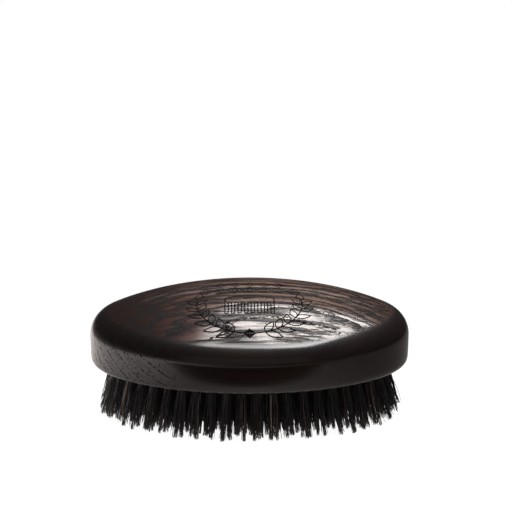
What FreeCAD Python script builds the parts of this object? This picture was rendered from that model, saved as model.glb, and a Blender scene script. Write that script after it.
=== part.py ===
import FreeCAD, Part

"""Oval palm brush: a turned and flattened hardwood block with rings of folded bristle tufts.

Frame: +Z up, X along the block, origin under the middle of the brush in the plane of the bristle tips.
The brush stands on its bristles, so the block's flat bristle face is at z = bristle_length.
All sizes are millimetres, and come from the driving dimensions in the spreadsheet.
"""

import math
import os

import Sketcher
from FreeCAD import Placement, Rotation, Vector

# name, value, what it is
DRIVING = (
    ("block_length", 110.0, "block, end to end"),
    ("block_width", 66.0, "block, side to side"),
    ("crown_height", 28.0, "top of the crown above the bristle face"),
    ("wall_height", 6.0, "where the side wall stops swelling and runs straight up, above the bristle face"),
    ("wall_radius", 60.0, "barrel curve of the wall below that"),
    ("crown_half_length", 73.0, "semi-axis along X of the ellipsoid that the crown is part of"),
    ("crown_half_width", 39.5, "its semi-axis along Y"),
    ("crown_half_height", 34.75, "its semi-axis along Z"),
    ("edge_round", 9.5, "rolling round between the side wall and the crown"),
    ("foot_radius", 2.5, "round between the side wall and the bristle face"),
    ("bristle_length", 18.0, "free bristle, from the bristle face to the tips"),
    ("hole_diameter", 2.8, "blind hole that holds a tuft"),
    ("hole_depth", 8.0, "depth of that hole to its shoulder"),
    ("drill_point", 0.85, "depth of the cone that the drill leaves below it"),
    ("tip_diameter", 4.0, "spread of a tuft at its tips"),
    ("fold_radius", 0.9, "round of the tuft's folded end"),
    ("trim_allowance", 1.5, "tuft past the tip plane before it is trimmed level"),
    ("anchor_lift", 1.0, "anchor above the folded end of the tuft"),
    ("anchor_rise", 1.8, "anchor, along the hole"),
    ("anchor_thickness", 0.4, "anchor, flat wire"),
    ("anchor_bite", 0.3, "how far each end of the anchor cuts into the wood"),
    ("ring_margin", 8.0, "outer ring of holes to the block's widest line"),
    ("tuft_pitch", 5.0, "from hole to hole round a ring or along a row, and from ring to ring"),
    ("ring_count", 5.0, "oval rings of holes"),
    ("centre_tufts", 7.0, "holes in the straight row inside the rings"),
    ("fan_end", 9.0, "outward lean of the tufts at the ends, degrees"),
    ("fan_side", 7.0, "outward lean of the tufts at the sides, degrees"),
)
SHEET = "dims"
CROWN_CLEARANCE = 2.0  # the uncrowned block stands this far above the crown


def make_sheet(doc):
    """The spreadsheet of driving dimensions: one row each, with an alias."""
    sheet = doc.addObject("Spreadsheet::Sheet", SHEET)
    for row, (name, value, note) in enumerate(DRIVING, start=1):
        sheet.set(f"A{row}", name)
        sheet.set(f"B{row}", str(value))
        sheet.set(f"C{row}", note)
        sheet.setAlias(f"B{row}", name)
    doc.recompute()
    return sheet


def bind(target, **expressions):
    """Binds properties, or named sketch constraints, to expressions in the sheet's aliases."""
    for name, expression in expressions.items():
        target.setExpression(name, expression)


def bind_constraints(sketch, **expressions):
    """Binds a sketch's named constraints to the sheet."""
    for name, expression in expressions.items():
        sketch.setExpression(f"Constraints.{name}", expression)


def origin_plane(body, role):
    """One of a body's own origin planes or axes."""
    return next(f for f in body.Origin.OriginFeatures if f.Role == role)


def new_sketch(body, name, role="XZ_Plane"):
    """A sketch in a body, flat on one of its origin planes."""
    sketch = body.newObject("Sketcher::SketchObject", name)
    sketch.AttachmentSupport = [(origin_plane(body, role), "")]
    sketch.MapMode = "FlatFace"
    return sketch


def arc(centre, radius, start, end):
    """A sketch arc about a centre, counter-clockwise, with its angles in radians."""
    circle = Part.Circle(Vector(*centre, 0), Vector(0, 0, 1), radius)
    return Part.ArcOfCircle(circle, start, end)


def line(start, end):
    return Part.LineSegment(Vector(*start, 0), Vector(*end, 0))


def revolve(body, sketch, name):
    """Turns a half section about the sketch's vertical axis."""
    turned = body.newObject("PartDesign::Revolution", name)
    turned.Profile = sketch
    turned.ReferenceAxis = (sketch, ["V_Axis"])
    turned.Angle = 360
    body.Tip = turned
    sketch.Visibility = False
    return turned


def constrain(sketch, *rows):
    """Adds constraints, each (kind, arguments...); a row that starts with name=... is named."""
    for row in rows:
        name = None
        if row[0].startswith("name="):
            name, row = row[0][5:], row[1:]
        index = sketch.addConstraint(Sketcher.Constraint(*row))
        if name:
            sketch.renameConstraint(index, name)


def block_section(body, sheet):
    """Half section of the uncrowned block: flat face, foot round, barrel wall, straight wall and flat top."""
    half = sheet.block_length / 2
    face = sheet.bristle_length
    widest = face + sheet.wall_height
    top = face + sheet.crown_height + CROWN_CLEARANCE
    foot, wall = sheet.foot_radius, sheet.wall_radius
    # the foot arc touches the face line, and the wall arc from inside
    foot_x = half - wall + math.sqrt((wall - foot) ** 2 - (sheet.wall_height - foot) ** 2)
    foot_end = math.atan2(face + foot - widest, foot_x - (half - wall))

    sketch = new_sketch(body, "block_section")
    sketch.addGeometry(
        [
            line((0, face), (foot_x, face)),
            arc((foot_x, face + foot), foot, -math.pi / 2, foot_end),
            arc((half - wall, widest), wall, foot_end, 0),
            line((half, widest), (half, top)),
            line((half, top), (0, top)),
            line((0, top), (0, face)),
        ],
        False,
    )
    face_line, foot_arc, wall_arc, side_line, top_line, axis_line = range(6)
    start, end, origin, vertical_axis = 1, 2, -1, -2
    constrain(
        sketch,
        ("Tangent", face_line, end, foot_arc, start),
        ("Tangent", foot_arc, end, wall_arc, start),
        ("Tangent", wall_arc, end, side_line, start),
        ("Coincident", side_line, end, top_line, start),
        ("Coincident", top_line, end, axis_line, start),
        ("Coincident", axis_line, end, face_line, start),
        ("Horizontal", face_line),
        ("Vertical", side_line),
        ("Horizontal", top_line),
        ("Vertical", axis_line),
        ("PointOnObject", axis_line, start, vertical_axis),
        ("name=face_level", "DistanceY", origin, start, face_line, start, face),
        ("name=widest_level", "DistanceY", origin, start, wall_arc, end, widest),
        ("name=top_level", "DistanceY", origin, start, top_line, end, top),
        ("name=half_length", "DistanceX", origin, start, wall_arc, end, half),
        ("name=foot_size", "Radius", foot_arc, foot),
        ("name=wall_size", "Radius", wall_arc, wall),
    )
    bind_constraints(
        sketch,
        face_level=f"{SHEET}.bristle_length",
        widest_level=f"{SHEET}.bristle_length + {SHEET}.wall_height",
        top_level=f"{SHEET}.bristle_length + {SHEET}.crown_height + {CROWN_CLEARANCE}",
        half_length=f"{SHEET}.block_length / 2",
        foot_size=f"{SHEET}.foot_radius",
        wall_size=f"{SHEET}.wall_radius",
    )
    return sketch


def make_crown_form(doc):
    """The ellipsoid whose top is the crown: its highest point is the top of the block."""
    crown = doc.addObject("Part::Ellipsoid", "crown_form")
    bind(
        crown,
        Radius1=f"{SHEET}.crown_half_height",
        Radius2=f"{SHEET}.crown_half_length",
        Radius3=f"{SHEET}.crown_half_width",
    )
    level = f"{SHEET}.bristle_length + {SHEET}.crown_height - {SHEET}.crown_half_height"
    bind(crown, **{"Placement.Base.z": level})
    return crown


def crown_edge(shape, sheet):
    """Name of the closed edge where the side wall meets the crown: the only one all above the barrel wall."""
    lowest = sheet.bristle_length + sheet.wall_height + 1
    highest = sheet.bristle_length + sheet.crown_height - 1
    found = [
        number
        for number, edge in enumerate(shape.Edges, start=1)
        if edge.Length > sheet.block_length and lowest < edge.BoundBox.ZMin and edge.BoundBox.ZMax < highest
    ]
    if len(found) != 1:
        raise RuntimeError(f"expected one edge round the crown, found {found}")
    return f"Edge{found[0]}"


def make_blank(doc, sheet):
    """The undrilled block: turned, narrowed to the oval, crowned, and rounded where the wall meets the crown."""
    turned = doc.addObject("PartDesign::Body", "block_turned")
    revolve(turned, block_section(turned, sheet), "block_turning")
    oval = doc.addObject("Part::Scale", "block_oval")
    oval.Base = turned
    oval.Uniform = False
    bind(oval, YScale=f"{SHEET}.block_width / {SHEET}.block_length")
    crowned = combine(doc, "Part::Common", "block_crowned", oval, make_crown_form(doc))
    doc.recompute()

    body = doc.addObject("PartDesign::Body", "block_rounded")
    body.BaseFeature = crowned
    doc.recompute()
    rounding = body.newObject("PartDesign::Fillet", "crown_rounding")
    rounding.Base = (body.Group[0], [crown_edge(body.Group[0].Shape, sheet)])
    bind(rounding, Radius=f"{SHEET}.edge_round")
    body.Tip = rounding
    return body


def make_drill(doc, sheet):
    """The shape that one hole takes out: its mouth is at the origin and it runs up +Z."""
    body = doc.addObject("PartDesign::Body", "drill_form")
    radius, depth, point = sheet.hole_diameter / 2, sheet.hole_depth, sheet.drill_point
    run_in = 1.0  # below the mouth, so that a leaning drill still clears the face
    corners = ((0, -run_in), (radius, -run_in), (radius, depth), (0, depth + point))
    sketch = new_sketch(body, "drill_section")
    sketch.addGeometry([line(p, q) for p, q in zip(corners, corners[1:] + corners[:1])], False)
    end_line, side, cone, axis = range(4)
    constrain(
        sketch,
        *[("Coincident", k, 2, (k + 1) % 4, 1) for k in range(4)],
        ("Horizontal", end_line),
        ("Vertical", side),
        ("Vertical", axis),
        ("PointOnObject", axis, 1, -2),
        ("name=run_in", "DistanceY", end_line, 1, -1, 1, run_in),
        ("name=radius", "DistanceX", -1, 1, side, 1, radius),
        ("name=depth", "DistanceY", -1, 1, cone, 1, depth),
        ("name=full_depth", "DistanceY", -1, 1, axis, 1, depth + point),
    )
    bind_constraints(
        sketch,
        radius=f"{SHEET}.hole_diameter / 2",
        depth=f"{SHEET}.hole_depth",
        full_depth=f"{SHEET}.hole_depth + {SHEET}.drill_point",
    )
    revolve(body, sketch, "drill_turning")
    return body


def make_tuft_form(doc, sheet):
    """One tuft before trimming: a folded bundle that fills its hole and spreads to the tips at -Z."""
    body = doc.addObject("PartDesign::Body", "tuft_form")
    root, tip = sheet.hole_diameter / 2, sheet.tip_diameter / 2
    depth, fold = sheet.hole_depth, sheet.fold_radius
    free = sheet.bristle_length + sheet.trim_allowance
    sketch = new_sketch(body, "tuft_section")
    sketch.addGeometry(
        [
            line((0, -free), (tip, -free)),
            line((tip, -free), (root, 0)),
            line((root, 0), (root, depth - fold)),
            arc((root - fold, depth - fold), fold, 0, math.pi / 2),
            line((root - fold, depth), (0, depth)),
            line((0, depth), (0, -free)),
        ],
        False,
    )
    tips, spread, side, round_end, top, axis = range(6)
    constrain(
        sketch,
        ("Coincident", tips, 2, spread, 1),
        ("Coincident", spread, 2, side, 1),
        ("Tangent", side, 2, round_end, 1),
        ("Tangent", round_end, 2, top, 1),
        ("Coincident", top, 2, axis, 1),
        ("Coincident", axis, 2, tips, 1),
        ("Horizontal", tips),
        ("Vertical", side),
        ("Horizontal", top),
        ("Vertical", axis),
        ("PointOnObject", axis, 1, -2),
        ("PointOnObject", side, 1, -1),
        ("name=free_length", "DistanceY", tips, 1, -1, 1, free),
        ("name=tip_radius", "DistanceX", -1, 1, tips, 2, tip),
        ("name=root_radius", "DistanceX", -1, 1, side, 1, root),
        ("name=root_depth", "DistanceY", -1, 1, axis, 1, depth),
        ("name=fold_size", "Radius", round_end, fold),
    )
    bind_constraints(
        sketch,
        free_length=f"{SHEET}.bristle_length + {SHEET}.trim_allowance",
        tip_radius=f"{SHEET}.tip_diameter / 2",
        root_radius=f"{SHEET}.hole_diameter / 2",
        root_depth=f"{SHEET}.hole_depth",
        fold_size=f"{SHEET}.fold_radius",
    )
    revolve(body, sketch, "tuft_turning")
    return body


def make_anchor_form(doc):
    """One anchor: a snip of flat wire across the hole, inside the fold of its tuft."""
    anchor = doc.addObject("Part::Box", "anchor_form")
    bind(
        anchor,
        Length=f"{SHEET}.hole_diameter + 2 * {SHEET}.anchor_bite",
        Width=f"{SHEET}.anchor_thickness",
        Height=f"{SHEET}.anchor_rise",
    )
    bind(
        anchor,
        **{
            "Placement.Base.x": f"-{SHEET}.hole_diameter / 2 - {SHEET}.anchor_bite",
            "Placement.Base.y": f"-{SHEET}.anchor_thickness / 2",
            "Placement.Base.z": f"{SHEET}.hole_depth - {SHEET}.anchor_lift - {SHEET}.anchor_rise",
        },
    )
    return anchor


def combine(doc, kind, name, base, tool):
    """A Part::Cut, Part::Fuse or Part::Common of two objects."""
    result = doc.addObject(kind, name)
    result.Base = base
    result.Tool = tool
    return result


def ellipse_points(half_x, half_y, count):
    """count points spaced evenly along an ellipse, counter-clockwise from its +X end."""
    steps = 3600
    angles = [2 * math.pi * k / steps for k in range(steps + 1)]
    along = [0.0]
    for before, after in zip(angles, angles[1:]):
        chord_x = half_x * (math.cos(after) - math.cos(before))
        chord_y = half_y * (math.sin(after) - math.sin(before))
        along.append(along[-1] + math.hypot(chord_x, chord_y))
    points, step = [], 0
    for k in range(count):
        target = along[-1] * k / count
        while along[step + 1] < target:
            step += 1
        share = (target - along[step]) / (along[step + 1] - along[step])
        angle = angles[step] + share * (angles[step + 1] - angles[step])
        points.append((half_x * math.cos(angle), half_y * math.sin(angle)))
    return points


def perimeter(half_x, half_y):
    """Ramanujan's perimeter of an ellipse."""
    root = math.sqrt((3 * half_x + half_y) * (half_x + 3 * half_y))
    return math.pi * (3 * (half_x + half_y) - root)


def tuft_groups(sheet):
    """Hole mouths on the bristle face, as {name: [(x, y), ...]}: each oval ring's two halves, and the row."""
    pitch = sheet.tuft_pitch
    groups = {}
    for ring in range(1, round(sheet.ring_count) + 1):
        inset = sheet.ring_margin + (ring - 1) * pitch
        half_x = sheet.block_length / 2 - inset
        half_y = sheet.block_width / 2 - inset
        half_count = round(perimeter(half_x, half_y) / pitch / 2)
        points = ellipse_points(half_x, half_y, 2 * half_count)
        groups[f"ring{ring}_back"] = points[:half_count]
        groups[f"ring{ring}_front"] = points[half_count:]
    middle = (sheet.centre_tufts - 1) / 2
    offsets = [k - middle for k in range(round(sheet.centre_tufts))]
    groups["centre_row"] = [(offset * pitch, 0.0) for offset in offsets]
    return groups


def hole_placement(sheet, x, y):
    """Carries a form from the origin to a hole: mouth on the bristle face, leaning outward with its distance."""
    reach_x = sheet.block_length / 2 - sheet.ring_margin
    reach_y = sheet.block_width / 2 - sheet.ring_margin
    lean_x = math.tan(math.radians(sheet.fan_end)) * x / reach_x
    lean_y = math.tan(math.radians(sheet.fan_side)) * y / reach_y
    inward = Vector(-lean_x, -lean_y, 1)
    turn = Rotation(Vector(1, 0, 0), Vector(), inward, "ZXY")
    return Placement(Vector(x, y, sheet.bristle_length), turn)


def placed_copies(doc, name, form, places):
    """A group of separate solids: one copy of a form at each placement."""
    copies = []
    for place in places:
        copy = form.Shape.copy()
        copy.Placement = place.multiply(copy.Placement)
        copies.append(copy)
    group = doc.addObject("Part::Feature", name)
    group.Shape = Part.makeCompound(copies)
    return group


def make_trim_space(doc):
    """Everything above the tip plane: what is left of the tufts when they are trimmed level."""
    space = doc.addObject("Part::Box", "trim_space")
    bind(
        space,
        Length=f"2 * {SHEET}.block_length",
        Width=f"2 * {SHEET}.block_width",
        Height=f"{SHEET}.bristle_length + {SHEET}.crown_height",
    )
    bind(
        space,
        **{
            "Placement.Base.x": f"-{SHEET}.block_length",
            "Placement.Base.y": f"-{SHEET}.block_width",
        },
    )
    return space


def check(doc, nodes):
    """Stops the build if an object failed, or a node is null, invalid or not all solids."""
    failed = [o.Name for o in doc.Objects if {"Invalid", "Error"} & set(o.State)]
    if failed:
        raise RuntimeError(f"these objects failed to recompute: {failed}")
    for name, (node, count) in nodes.items():
        shape = node.Shape
        if shape.isNull() or not shape.isValid() or len(shape.Solids) != count:
            raise RuntimeError(f"{name} is not {count} valid solids: it has {len(shape.Solids)}")


def main():
    doc = FreeCAD.newDocument("oval_brush")
    sheet = make_sheet(doc)
    blank = make_blank(doc, sheet)
    hole = make_drill(doc, sheet)
    anchor = make_anchor_form(doc)
    tuft = make_tuft_form(doc, sheet)
    space = make_trim_space(doc)
    drill = combine(doc, "Part::Fuse", "drill_with_anchor_slot", hole, anchor)
    slotted_tuft = combine(doc, "Part::Cut", "tuft_round_anchor", tuft, anchor)
    doc.recompute()

    nodes, every_place = {}, []
    for group, points in tuft_groups(sheet).items():
        places = [hole_placement(sheet, x, y) for x, y in points]
        every_place += places
        uncut = placed_copies(doc, f"uncut_{group}", slotted_tuft, places)
        trimmed = combine(doc, "Part::Common", f"trimmed_{group}", uncut, space)
        anchors = placed_copies(doc, f"wires_{group}", anchor, places)
        nodes[f"tufts_{group}"] = (trimmed, len(points))
        nodes[f"anchors_{group}"] = (anchors, len(points))
    drills = placed_copies(doc, "all_drills", drill, every_place)
    block = combine(doc, "Part::Cut", "drilled_block", blank, drills)
    nodes["wooden_block"] = (block, 1)
    doc.recompute()

    check(doc, nodes)
    os.makedirs("parts", exist_ok=True)
    for name, (node, _) in nodes.items():
        node.Label = name
        node.Shape.exportStep(f"parts/{name}.step")
    print(f"{len(nodes)} nodes, {len(every_place)} tufts, block {block.Shape.Volume / 1000:.1f} cm3")


main()
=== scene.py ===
"""Looks of the oval beard brush: a lacquered dark hardwood block with an engraved crown, and its tufts.

Everything is in metres in the CAD frame: +Z up, X along the block, bristle tips on z = 0.
"""

import math

import bmesh
import bpy
import numpy as np
from mathutils import Matrix, Vector
from mathutils.geometry import delaunay_2d_cdt


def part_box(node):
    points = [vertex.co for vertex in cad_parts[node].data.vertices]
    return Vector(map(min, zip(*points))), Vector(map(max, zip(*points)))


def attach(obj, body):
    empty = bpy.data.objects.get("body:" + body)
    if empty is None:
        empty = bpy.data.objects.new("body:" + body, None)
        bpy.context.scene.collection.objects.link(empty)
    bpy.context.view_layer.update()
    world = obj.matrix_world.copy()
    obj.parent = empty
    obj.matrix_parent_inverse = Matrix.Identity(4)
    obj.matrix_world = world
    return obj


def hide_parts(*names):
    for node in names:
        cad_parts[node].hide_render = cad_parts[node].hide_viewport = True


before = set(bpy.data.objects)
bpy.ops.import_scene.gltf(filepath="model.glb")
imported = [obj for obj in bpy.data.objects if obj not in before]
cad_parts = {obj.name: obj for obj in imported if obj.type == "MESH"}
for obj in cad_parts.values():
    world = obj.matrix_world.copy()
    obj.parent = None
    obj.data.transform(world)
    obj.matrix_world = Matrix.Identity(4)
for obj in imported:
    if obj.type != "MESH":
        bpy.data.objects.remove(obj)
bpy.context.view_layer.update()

MM = 0.001
SEED = 4127

# ---------------------------------------------------------------- sizes: the block, its holes and tufts

BLOCK_LOW, BLOCK_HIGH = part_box("wooden_block")
HALF_LENGTH = BLOCK_HIGH.x
HALF_WIDTH = BLOCK_HIGH.y
FACE = BLOCK_LOW.z  # the flat bristle face
CROWN = BLOCK_HIGH.z
OVAL = HALF_WIDTH / HALF_LENGTH  # the turned block is narrowed by this in Y

WALL_HEIGHT = 6.0 * MM
WALL_RADIUS = 60 * MM
FOOT_RADIUS = 2.5 * MM
CROWN_HALF = np.array([73.0, 39.5, 34.75]) * MM  # semi-axes of the ellipsoid that the crown is part of
EDGE_ROUND = 9.5 * MM

HOLE_RADIUS = 1.4 * MM
HOLE_DEPTH = 8.0 * MM
DRILL_POINT = 0.85 * MM
RING_MARGIN = 8 * MM
TUFT_PITCH = 5 * MM
RING_COUNT = 5
CENTRE_TUFTS = 7
FAN_END = math.radians(9)
FAN_SIDE = math.radians(7)
ANCHOR_TOP = 7.0 * MM  # above the bristle face, along the hole

PATCH_RADIUS = 48.8 * MM  # the crown inside this turned radius is the engraved patch


def crown_height(x, y):
    """Height of the crown: the top of its ellipsoid."""
    length, width, height = CROWN_HALF
    return CROWN - height + height * np.sqrt(1 - (x / length) ** 2 - (y / width) ** 2)


# ---------------------------------------------------------------- meshes


def new_mesh(name, points, faces, smooth=True):
    """A mesh object from an array of points and a list of face arrays (each (n, 3) or (n, 4) indices)."""
    mesh = bpy.data.meshes.new(name)
    sizes = np.concatenate([np.full(len(f), f.shape[1]) for f in faces])
    loops = np.concatenate([np.asarray(f).ravel() for f in faces])
    mesh.vertices.add(len(points))
    mesh.vertices.foreach_set("co", np.asarray(points, np.float32).ravel())
    mesh.loops.add(len(loops))
    mesh.loops.foreach_set("vertex_index", loops.astype(np.int32))
    mesh.polygons.add(len(sizes))
    starts = np.concatenate([[0], np.cumsum(sizes)[:-1]])
    mesh.polygons.foreach_set("loop_start", starts.astype(np.int32))
    mesh.polygons.foreach_set("use_smooth", np.full(len(sizes), smooth))
    mesh.update(calc_edges=True)
    mesh.validate()
    piece = bpy.data.objects.new(name, mesh)
    bpy.context.scene.collection.objects.link(piece)
    return piece


def point_attribute(piece, name, values):
    """Stores one number per vertex on a piece, for its material to read."""
    attribute = piece.data.attributes.new(name, "FLOAT", "POINT")
    attribute.data.foreach_set("value", np.asarray(values, np.float32))


def grid_faces(rows, columns, start=0):
    """Quads of a rows x columns grid of points, closed round the columns. Rows run up, columns run
    counter-clockwise, and the quads face outward."""
    row, column = np.meshgrid(np.arange(rows - 1), np.arange(columns), indexing="ij")
    right = (column + 1) % columns
    a, b = row * columns + column, row * columns + right
    return start + np.stack([a, b, b + columns, a + columns], -1).reshape(-1, 4)


def triangulate(points, edges):
    """Flat triangulation that keeps the given edges: its points and triangles. It works in millimetres, which
    suit its tolerance."""
    flat = [Vector((x, y)) for x, y in np.asarray(points) / MM]
    out, _, faces, _, _, _ = delaunay_2d_cdt(flat, [tuple(e) for e in edges], [], 0, 1e-5)
    triangles = np.array([f for f in faces if len(f) == 3], int)
    placed = np.array([(v.x, v.y) for v in out]) * MM
    a, b, c = (placed[triangles[:, k]] for k in range(3))
    turn = (b[:, 0] - a[:, 0]) * (c[:, 1] - a[:, 1]) - (b[:, 1] - a[:, 1]) * (c[:, 0] - a[:, 0])
    return placed, triangles[np.abs(turn) > 1e-14]


# ---------------------------------------------------------------- where the tufts stand


def ellipse_points(half_x, half_y, count):
    """count points at equal steps of arc length round an ellipse, counter-clockwise from its +X end."""
    angle = np.linspace(0, 2 * np.pi, 3601)
    step = np.hypot(half_x * np.diff(np.cos(angle)), half_y * np.diff(np.sin(angle)))
    along = np.concatenate([[0], np.cumsum(step)])
    at = np.interp(along[-1] * np.arange(count) / count, along, angle)
    return np.stack([half_x * np.cos(at), half_y * np.sin(at)], -1)


def perimeter(half_x, half_y):
    """Ramanujan's perimeter of an ellipse."""
    root = math.sqrt((3 * half_x + half_y) * (half_x + 3 * half_y))
    return math.pi * (3 * (half_x + half_y) - root)


def tuft_groups():
    """Hole mouths on the bristle face, {group: (n, 2) array}: each oval ring's two halves, and the centre
    row. A ring has an even number of holes, at equal steps of arc length."""
    groups = {}
    for ring in range(1, RING_COUNT + 1):
        inset = RING_MARGIN + (ring - 1) * TUFT_PITCH
        half_x, half_y = HALF_LENGTH - inset, HALF_WIDTH - inset
        half_count = round(perimeter(half_x, half_y) / TUFT_PITCH / 2)
        points = ellipse_points(half_x, half_y, 2 * half_count)
        groups[f"ring{ring}_back"] = points[:half_count]
        groups[f"ring{ring}_front"] = points[half_count:]
    along = (np.arange(CENTRE_TUFTS) - (CENTRE_TUFTS - 1) / 2) * TUFT_PITCH
    groups["centre_row"] = np.stack([along, np.zeros(CENTRE_TUFTS)], -1)
    return groups


def tuft_axes(mouths):
    """Unit vectors from the hole mouths to the tips: down, leaning outward in proportion to the distance."""
    lean_x = math.tan(FAN_END) * mouths[:, 0] / (HALF_LENGTH - RING_MARGIN)
    lean_y = math.tan(FAN_SIDE) * mouths[:, 1] / (HALF_WIDTH - RING_MARGIN)
    axes = np.stack([lean_x, lean_y, -np.ones(len(mouths))], -1)
    return axes / np.linalg.norm(axes, axis=1, keepdims=True)


TUFTS = tuft_groups()

# ---------------------------------------------------------------- the engraving

GROOVE_WIDTH = 0.32 * MM
GROOVE_DEPTH = 0.20 * MM
BURN_RIM = 0.07 * MM  # the scorch fades out over this beside the groove
STROKE_STEP = 0.45 * MM


def leaf(base, direction, length, width):
    """The outline of a pointed leaf: a sine arch each side of its middle."""
    forward = np.array([math.cos(direction), math.sin(direction)])
    side = np.array([-forward[1], forward[0]])
    t = np.linspace(0, 1, 15)[:, None]
    arch = width / 2 * np.sin(np.pi * t**0.85)
    return [base + t * length * forward + arch * side, base + t * length * forward - arch * side]


def sprig(side):
    """A curved stem with leaves in pairs, outside and inside, and one at its end; side is 1 or -1."""
    turn = np.radians(np.linspace(-84, 10, 60))
    stem = np.stack([side * 17.6 * MM * np.cos(turn), (19.4 * np.sin(turn) - 2.3) * MM], -1)
    strokes = [stem]
    for share in np.linspace(0.13, 0.90, 6):
        k = int(share * 58)
        base, ahead = stem[k], stem[k + 1] - stem[k]
        heading = math.atan2(ahead[1], ahead[0])
        size = 1 - 0.22 * share
        strokes += leaf(base, heading - side * math.radians(38), 6.3 * MM * size, 2.7 * MM * size)
        strokes += leaf(base, heading + side * math.radians(44), 6.0 * MM * size, 2.6 * MM * size)
    ahead = stem[-1] - stem[-2]
    strokes += leaf(stem[-1], math.atan2(ahead[1], ahead[0]), 6.0 * MM, 2.6 * MM)
    return strokes


def diamond(x, y, half_x, half_y):
    """A closed lozenge."""
    corners = [(1, 0), (0, 1), (-1, 0), (0, -1), (1, 0)]
    return np.array([(x + half_x * a, y + half_y * b) for a, b in corners])


def comb():
    """A beard comb, teeth down: a bowed back over a row of square-cut teeth, drawn as one closed line."""
    half, top, root, tip = 8.2 * MM, 1.0 * MM, -3.0 * MM, -10.5 * MM
    across = np.linspace(-1, 1, 21)
    back = np.stack([across * half, top + 1.8 * MM * (1 - across**2)], -1)
    edges = np.linspace(half, -half, 16)  # eight teeth and seven gaps, from right to left
    levels = np.where((np.arange(15) % 2) == 0, tip, root)
    teeth = np.concatenate([[(a, z), (b, z)] for a, b, z in zip(edges[:-1], edges[1:], levels)])
    return [np.concatenate([back, teeth, back[:1]])]


ORNAMENT_MIDDLE = -13.0 * MM  # in Y; it stands towards the front of the crown
ORNAMENT_RISE = 0.66


def engraving():
    """Every stroke of the ornament in plan: two sprigs round a comb, with two rows of lozenges above it."""
    strokes = sprig(1) + sprig(-1) + comb()
    for y, count in ((16.2 * MM, 5), (9.0 * MM, 7)):
        for k in range(count):
            x = (k - (count - 1) / 2) * 4.9 * MM
            strokes.append(diamond(x, y, 2.45 * MM, 3.2 * MM))
            strokes.append(diamond(x, y, 1.1 * MM, 1.5 * MM))
    strokes += [diamond(0, -21.7 * MM, 1.9 * MM * k, 2.0 * MM * k) for k in (1, 0.64, 0.28)]
    shift = np.array([0, ORNAMENT_MIDDLE + ORNAMENT_RISE * 1.5 * MM])
    return [stroke * np.array([1, ORNAMENT_RISE]) + shift for stroke in strokes]


def resample(stroke, step):
    """The same line with a point at each corner and about every step between."""
    out = []
    for a, b in zip(stroke[:-1], stroke[1:]):
        count = max(1, math.ceil(np.linalg.norm(b - a) / step))
        out.append(a + (b - a) * (np.arange(count) / count)[:, None])
    return np.concatenate(out + [stroke[-1:]])


def offset_line(line, distance):
    """A line moved sideways by distance, along the mean normal of the runs that meet at each point."""
    run = np.diff(line, axis=0)
    run /= np.linalg.norm(run, axis=1, keepdims=True)
    normal = np.stack([-run[:, 1], run[:, 0]], -1)
    closed = np.linalg.norm(line[0] - line[-1]) < 1e-9
    before = np.concatenate([normal[-1:] if closed else normal[:1], normal])
    after = np.concatenate([normal, normal[:1] if closed else normal[-1:]])
    mean = before + after
    mean /= np.maximum(np.sum(mean * before, axis=1, keepdims=True), 0.45)
    return line + distance * mean


def distance_to(points, starts, ends):
    """Each point's least distance to a set of straight runs, worked out in blocks of points."""
    run = ends - starts
    squared = np.maximum(np.sum(run * run, axis=1), 1e-18)
    least = np.empty(len(points))
    for first in range(0, len(points), 1000):
        block = points[first : first + 1000, None, :] - starts[None]
        share = np.clip(np.sum(block * run[None], axis=2) / squared, 0, 1)
        gap = block - share[..., None] * run[None]
        least[first : first + 1000] = np.sqrt(np.min(np.sum(gap * gap, axis=2), axis=1))
    return least


def crown_patch(rim):
    """The engraved crown inside rim, an (n, 2) outline: the cap's height less a V groove along each stroke.
    The triangles' edges follow each stroke's middle, its two lips and the scorch beside them."""
    lines = [resample(s, STROKE_STEP) for s in engraving()]
    starts = np.concatenate([line[:-1] for line in lines])
    ends = np.concatenate([line[1:] for line in lines])
    half = GROOVE_WIDTH / 2
    points, edges, count = [rim], [], len(rim)
    edges.append(np.stack([np.arange(count), (np.arange(count) + 1) % count], -1))
    for line in lines:
        for distance in (0, half, -half, half + BURN_RIM, -half - BURN_RIM):
            moved = offset_line(line, distance) if distance else line
            points.append(moved)
            edges.append(count + np.stack([np.arange(len(moved) - 1), np.arange(1, len(moved))], -1))
            count += len(moved)
    spacing = 1.5 * MM
    x, y = np.meshgrid(np.arange(-32, 33), np.arange(-23, 24))
    x, y = (x + 0.5 * (y % 2)) * spacing, y * spacing * math.sqrt(3) / 2
    field = np.stack([x.ravel(), y.ravel()], -1)
    inside = np.hypot(field[:, 0], field[:, 1] / OVAL) < PATCH_RADIUS - spacing
    field = field[inside]
    field = field[distance_to(field, starts, ends) > half + 3 * BURN_RIM]
    placed, triangles = triangulate(np.concatenate(points + [field]), np.concatenate(edges))
    gap = distance_to(placed, starts, ends)
    depth = GROOVE_DEPTH * np.clip(1 - gap / half, 0, 1)
    depth[gap > 0.97 * half] = 0
    burn = np.clip(1 - (gap - half) / BURN_RIM, 0, 1)
    burn[gap > half + 0.9 * BURN_RIM] = 0
    z = crown_height(placed[:, 0], placed[:, 1]) - depth
    return np.column_stack([placed, z]), triangles, burn


# ---------------------------------------------------------------- the block

AROUND = 288


def around_oval(radius):
    """Points round the oval of a turned radius: (radius cos t, OVAL radius sin t)."""
    angle = 2 * np.pi * np.arange(AROUND) / AROUND
    return np.stack([radius * np.cos(angle), OVAL * radius * np.sin(angle)], -1)


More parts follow.
